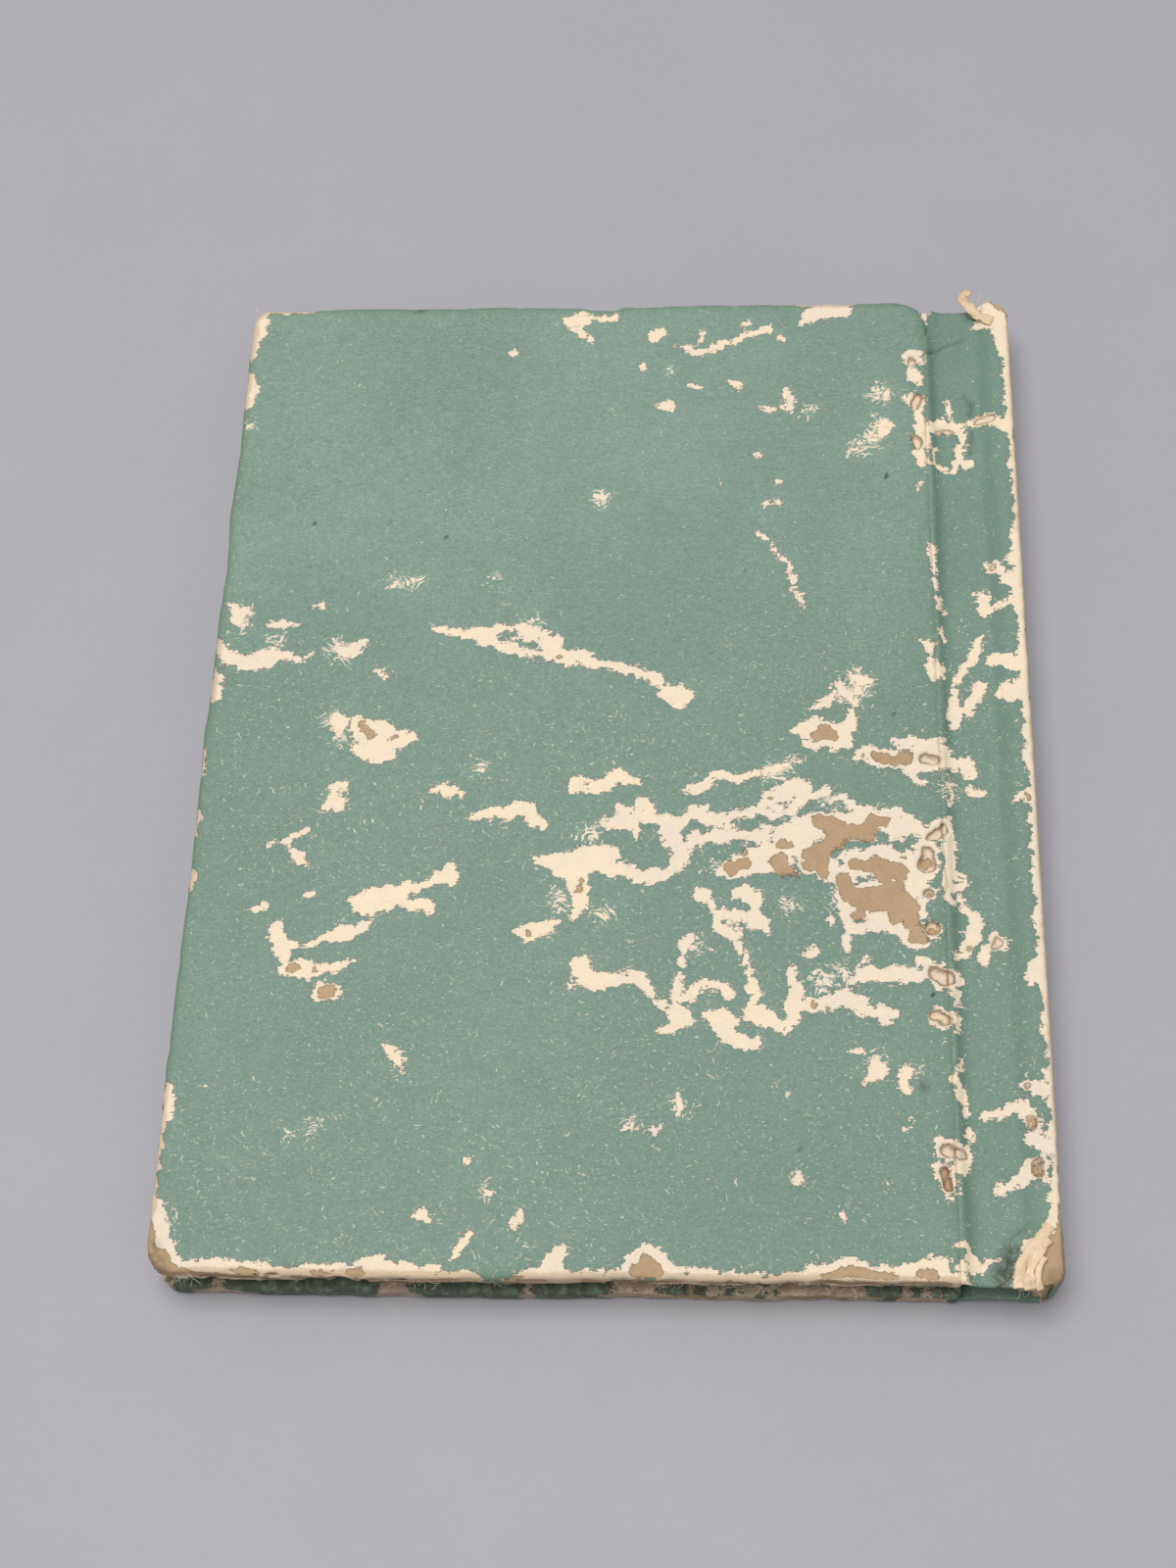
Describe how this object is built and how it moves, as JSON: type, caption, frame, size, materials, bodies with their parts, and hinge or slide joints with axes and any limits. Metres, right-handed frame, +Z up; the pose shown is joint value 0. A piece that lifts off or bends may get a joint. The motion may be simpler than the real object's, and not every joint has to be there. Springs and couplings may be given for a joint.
{
  "type": "pocket notebook",
  "caption": "Thin hardback pocket notebook with worn green paper boards, a grooved joint at the spine and turning leaves.",
  "frame": {"origin": "middle of the underside, where the closed notebook rests on its front cover", "axes": "+X from the fore-edge to the spine, +Y from the tail to the head, +Z up through the back cover"},
  "size_m": [0.108, 0.14, 0.009],
  "materials": {
    "green_cover_paper": "matte",
    "grey_board": "matte",
    "endpaper": "matte",
    "page_paper": "matte",
    "gauze": "matte",
    "steel_wire": "satin"
  },
  "bodies": {
    "front_cover": {"front_board": "grey_board", "front_cover_paper": "green_cover_paper", "front_pastedown": "endpaper", "front_endpaper_fold": "endpaper"},
    "text_block": {"spine_board": "grey_board", "spine_cover_paper": "green_cover_paper", "gauze_lining": "gauze", "bound_margin": "page_paper", "wire_stitches": "steel_wire", "front_joint_paper": "green_cover_paper", "back_joint_paper": "green_cover_paper"},
    "back_cover": {"back_board": "grey_board", "back_cover_paper": "green_cover_paper", "back_pastedown": "endpaper", "back_endpaper_fold": "endpaper"},
    "front_flyleaf_turning": {"front_flyleaf": "endpaper"},
    "leaf_01_turning": {"leaf_01": "page_paper"},
    "leaf_02_turning": {"leaf_02": "page_paper"},
    "leaf_03_turning": {"leaf_03": "page_paper"},
    "leaf_04_turning": {"leaf_04": "page_paper"},
    "leaf_05_turning": {"leaf_05": "page_paper"},
    "leaf_06_turning": {"leaf_06": "page_paper"},
    "leaf_07_turning": {"leaf_07": "page_paper"},
    "leaf_08_turning": {"leaf_08": "page_paper"},
    "leaf_09_turning": {"leaf_09": "page_paper"},
    "leaf_10_turning": {"leaf_10": "page_paper"},
    "leaf_11_turning": {"leaf_11": "page_paper"},
    "leaf_12_turning": {"leaf_12": "page_paper"},
    "leaf_13_turning": {"leaf_13": "page_paper"},
    "leaf_14_turning": {"leaf_14": "page_paper"},
    "leaf_15_turning": {"leaf_15": "page_paper"},
    "leaf_16_turning": {"leaf_16": "page_paper"},
    "leaf_17_turning": {"leaf_17": "page_paper"},
    "leaf_18_turning": {"leaf_18": "page_paper"},
    "leaf_19_turning": {"leaf_19": "page_paper"},
    "leaf_20_turning": {"leaf_20": "page_paper"},
    "leaf_21_turning": {"leaf_21": "page_paper"},
    "leaf_22_turning": {"leaf_22": "page_paper"},
    "leaf_23_turning": {"leaf_23": "page_paper"},
    "leaf_24_turning": {"leaf_24": "page_paper"},
    "back_flyleaf_turning": {"back_flyleaf": "endpaper"}
  },
  "joints": [
    {"name": "front_cover_hinge", "type": "hinge", "parent": "front_cover", "child": "text_block", "pos_m": [0.0473, 0, 0.0027], "axis": [0, 1, 0], "range_deg": [0, 90], "deforming": ["front_joint_paper", "front_endpaper_fold"]},
    {"name": "back_cover_hinge", "type": "hinge", "parent": "text_block", "child": "back_cover", "pos_m": [0.0473, 0, 0.0063], "axis": [0, 1, 0], "range_deg": [0, 90], "deforming": ["back_joint_paper", "back_endpaper_fold"]},
    {"name": "front_flyleaf_turn", "type": "hinge", "parent": "text_block", "child": "front_flyleaf_turning", "pos_m": [0.0468, 0, 0.0029], "axis": [0, 1, 0], "range_deg": [-84.07, 0]},
    {"name": "leaf_01_turn", "type": "hinge", "parent": "text_block", "child": "leaf_01_turning", "pos_m": [0.04667, 0, 0.00303], "axis": [0, 1, 0], "range_deg": [-77.64, 0]},
    {"name": "leaf_02_turn", "type": "hinge", "parent": "text_block", "child": "leaf_02_turning", "pos_m": [0.04654, 0, 0.00316], "axis": [0, 1, 0], "range_deg": [-71.21, 0]},
    {"name": "leaf_03_turn", "type": "hinge", "parent": "text_block", "child": "leaf_03_turning", "pos_m": [0.04642, 0, 0.00328], "axis": [0, 1, 0], "range_deg": [-64.79, 0]},
    {"name": "leaf_04_turn", "type": "hinge", "parent": "text_block", "child": "leaf_04_turning", "pos_m": [0.04629, 0, 0.00341], "axis": [0, 1, 0], "range_deg": [-58.36, 0]},
    {"name": "leaf_05_turn", "type": "hinge", "parent": "text_block", "child": "leaf_05_turning", "pos_m": [0.04616, 0, 0.00354], "axis": [0, 1, 0], "range_deg": [-51.93, 0]},
    {"name": "leaf_06_turn", "type": "hinge", "parent": "text_block", "child": "leaf_06_turning", "pos_m": [0.04603, 0, 0.00367], "axis": [0, 1, 0], "range_deg": [-45.5, 0]},
    {"name": "leaf_07_turn", "type": "hinge", "parent": "text_block", "child": "leaf_07_turning", "pos_m": [0.0459, 0, 0.0038], "axis": [0, 1, 0], "range_deg": [-39.07, 0]},
    {"name": "leaf_08_turn", "type": "hinge", "parent": "text_block", "child": "leaf_08_turning", "pos_m": [0.04578, 0, 0.00392], "axis": [0, 1, 0], "range_deg": [-32.64, 0]},
    {"name": "leaf_09_turn", "type": "hinge", "parent": "text_block", "child": "leaf_09_turning", "pos_m": [0.04565, 0, 0.00405], "axis": [0, 1, 0], "range_deg": [-26.21, 0]},
    {"name": "leaf_10_turn", "type": "hinge", "parent": "text_block", "child": "leaf_10_turning", "pos_m": [0.04552, 0, 0.00418], "axis": [0, 1, 0], "range_deg": [-19.79, 0]},
    {"name": "leaf_11_turn", "type": "hinge", "parent": "text_block", "child": "leaf_11_turning", "pos_m": [0.04539, 0, 0.00431], "axis": [0, 1, 0], "range_deg": [-13.36, 0]},
    {"name": "leaf_12_turn", "type": "hinge", "parent": "text_block", "child": "leaf_12_turning", "pos_m": [0.04526, 0, 0.00444], "axis": [0, 1, 0], "range_deg": [-6.93, 0]},
    {"name": "leaf_13_turn", "type": "hinge", "parent": "text_block", "child": "leaf_13_turning", "pos_m": [0.04526, 0, 0.00456], "axis": [0, 1, 0], "range_deg": [0, 6.93]},
    {"name": "leaf_14_turn", "type": "hinge", "parent": "text_block", "child": "leaf_14_turning", "pos_m": [0.04539, 0, 0.00469], "axis": [0, 1, 0], "range_deg": [0, 13.36]},
    {"name": "leaf_15_turn", "type": "hinge", "parent": "text_block", "child": "leaf_15_turning", "pos_m": [0.04552, 0, 0.00482], "axis": [0, 1, 0], "range_deg": [0, 19.79]},
    {"name": "leaf_16_turn", "type": "hinge", "parent": "text_block", "child": "leaf_16_turning", "pos_m": [0.04565, 0, 0.00495], "axis": [0, 1, 0], "range_deg": [0, 26.21]},
    {"name": "leaf_17_turn", "type": "hinge", "parent": "text_block", "child": "leaf_17_turning", "pos_m": [0.04578, 0, 0.00508], "axis": [0, 1, 0], "range_deg": [0, 32.64]},
    {"name": "leaf_18_turn", "type": "hinge", "parent": "text_block", "child": "leaf_18_turning", "pos_m": [0.0459, 0, 0.0052], "axis": [0, 1, 0], "range_deg": [0, 39.07]},
    {"name": "leaf_19_turn", "type": "hinge", "parent": "text_block", "child": "leaf_19_turning", "pos_m": [0.04603, 0, 0.00533], "axis": [0, 1, 0], "range_deg": [0, 45.5]},
    {"name": "leaf_20_turn", "type": "hinge", "parent": "text_block", "child": "leaf_20_turning", "pos_m": [0.04616, 0, 0.00546], "axis": [0, 1, 0], "range_deg": [0, 51.93]},
    {"name": "leaf_21_turn", "type": "hinge", "parent": "text_block", "child": "leaf_21_turning", "pos_m": [0.04629, 0, 0.00559], "axis": [0, 1, 0], "range_deg": [0, 58.36]},
    {"name": "leaf_22_turn", "type": "hinge", "parent": "text_block", "child": "leaf_22_turning", "pos_m": [0.04642, 0, 0.00572], "axis": [0, 1, 0], "range_deg": [0, 64.79]},
    {"name": "leaf_23_turn", "type": "hinge", "parent": "text_block", "child": "leaf_23_turning", "pos_m": [0.04654, 0, 0.00584], "axis": [0, 1, 0], "range_deg": [0, 71.21]},
    {"name": "leaf_24_turn", "type": "hinge", "parent": "text_block", "child": "leaf_24_turning", "pos_m": [0.04667, 0, 0.00597], "axis": [0, 1, 0], "range_deg": [0, 77.64]},
    {"name": "back_flyleaf_turn", "type": "hinge", "parent": "text_block", "child": "back_flyleaf_turning", "pos_m": [0.0468, 0, 0.0061], "axis": [0, 1, 0], "range_deg": [0, 84.07]}
  ],
  "couplings": [
    {"joint": "front_flyleaf_turn", "follows": "front_cover_hinge", "ratio": -0.92857},
    {"joint": "leaf_01_turn", "follows": "front_cover_hinge", "ratio": -0.85714},
    {"joint": "leaf_02_turn", "follows": "front_cover_hinge", "ratio": -0.78571},
    {"joint": "leaf_03_turn", "follows": "front_cover_hinge", "ratio": -0.71429},
    {"joint": "leaf_04_turn", "follows": "front_cover_hinge", "ratio": -0.64286},
    {"joint": "leaf_05_turn", "follows": "front_cover_hinge", "ratio": -0.57143},
    {"joint": "leaf_06_turn", "follows": "front_cover_hinge", "ratio": -0.5},
    {"joint": "leaf_07_turn", "follows": "front_cover_hinge", "ratio": -0.42857},
    {"joint": "leaf_08_turn", "follows": "front_cover_hinge", "ratio": -0.35714},
    {"joint": "leaf_09_turn", "follows": "front_cover_hinge", "ratio": -0.28571},
    {"joint": "leaf_10_turn", "follows": "front_cover_hinge", "ratio": -0.21429},
    {"joint": "leaf_11_turn", "follows": "front_cover_hinge", "ratio": -0.14286},
    {"joint": "leaf_12_turn", "follows": "front_cover_hinge", "ratio": -0.071429},
    {"joint": "leaf_13_turn", "follows": "back_cover_hinge", "ratio": 0.071429},
    {"joint": "leaf_14_turn", "follows": "back_cover_hinge", "ratio": 0.14286},
    {"joint": "leaf_15_turn", "follows": "back_cover_hinge", "ratio": 0.21429},
    {"joint": "leaf_16_turn", "follows": "back_cover_hinge", "ratio": 0.28571},
    {"joint": "leaf_17_turn", "follows": "back_cover_hinge", "ratio": 0.35714},
    {"joint": "leaf_18_turn", "follows": "back_cover_hinge", "ratio": 0.42857},
    {"joint": "leaf_19_turn", "follows": "back_cover_hinge", "ratio": 0.5},
    {"joint": "leaf_20_turn", "follows": "back_cover_hinge", "ratio": 0.57143},
    {"joint": "leaf_21_turn", "follows": "back_cover_hinge", "ratio": 0.64286},
    {"joint": "leaf_22_turn", "follows": "back_cover_hinge", "ratio": 0.71429},
    {"joint": "leaf_23_turn", "follows": "back_cover_hinge", "ratio": 0.78571},
    {"joint": "leaf_24_turn", "follows": "back_cover_hinge", "ratio": 0.85714},
    {"joint": "back_flyleaf_turn", "follows": "back_cover_hinge", "ratio": 0.92857}
  ]
}
